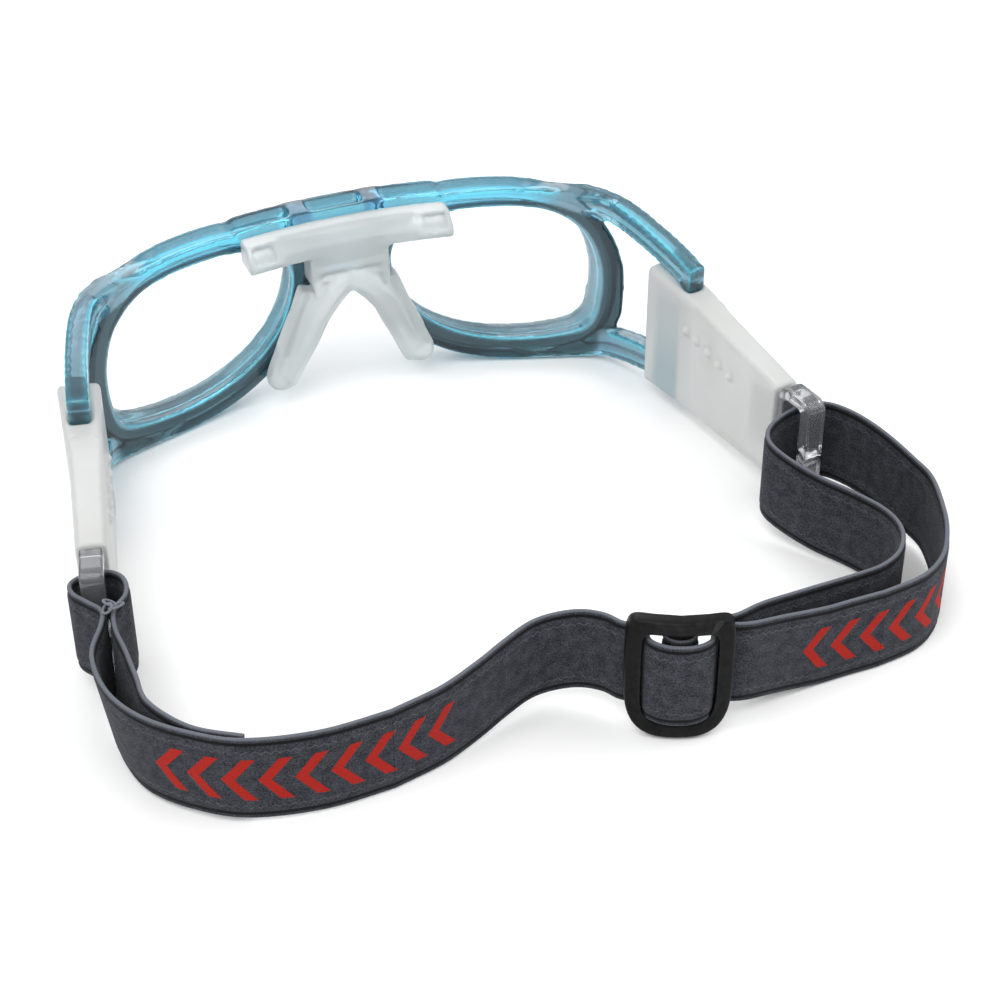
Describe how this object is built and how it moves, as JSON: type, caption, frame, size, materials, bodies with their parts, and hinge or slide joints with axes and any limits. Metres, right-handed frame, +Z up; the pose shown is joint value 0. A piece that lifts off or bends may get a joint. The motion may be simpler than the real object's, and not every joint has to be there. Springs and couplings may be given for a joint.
{
  "type": "sports protective goggles",
  "caption": "Wrap-around sports goggles with clear lenses, a soft nose and brow pad, soft temple sleeves and an elastic head strap with a slider.",
  "frame": {"origin": "middle of the footprint, on the surface that the goggles lie on", "axes": "+X to the wearer's left, +Y from the front to the back of the head, +Z up"},
  "size_m": [0.1824, 0.1598, 0.0484],
  "materials": {
    "frame_plastic": "clear tinted blue",
    "lens": "polished",
    "silicone": "translucent satin",
    "hook_plastic": "clear",
    "strap": "brushed elastic webbing",
    "thread": "sewing thread",
    "slider_plastic": "satin black"
  },
  "bodies": {
    "root": {"frame": "frame_plastic", "left_lens": "lens", "right_lens": "lens", "left_sleeve_front": "silicone", "right_sleeve_front": "silicone", "strap_left": "strap", "strap_right": "strap", "left_loop_tack": "thread"},
    "left_temple": {"left_sleeve_rear": "silicone", "left_strap_hook": "hook_plastic"},
    "right_temple": {"right_sleeve_rear": "silicone", "right_strap_hook": "hook_plastic"},
    "pad": {"nose_brow_pad": "silicone"},
    "slider": {"strap_slider": "slider_plastic", "strap_slider_panel": "strap", "strap_slider_loop": "strap"}
  },
  "joints": [
    {"name": "left_temple_flex", "type": "hinge", "parent": "root", "child": "left_temple", "pos_m": [0.07745, -0.02451, 0.018], "axis": [0, 0, -1], "range_deg": [-8, 12], "stiffness_Nm_per_rad": 0.05, "deforming": ["strap_left"]},
    {"name": "right_temple_flex", "type": "hinge", "parent": "root", "child": "right_temple", "pos_m": [-0.06914, -0.02451, 0.018], "axis": [0, 0, 1], "range_deg": [-8, 12], "stiffness_Nm_per_rad": 0.05, "deforming": ["strap_right"]},
    {"name": "pad_pull", "type": "slide", "parent": "root", "child": "pad", "axis": [0, 1, 0], "range_m": [0, 0.012]},
    {"name": "strap_slide", "type": "slide", "parent": "root", "child": "slider", "axis": [-0.9232, 0.3843, 0], "range_m": [-0.01, 0.01], "deforming": ["strap_left", "strap_right"]}
  ]
}
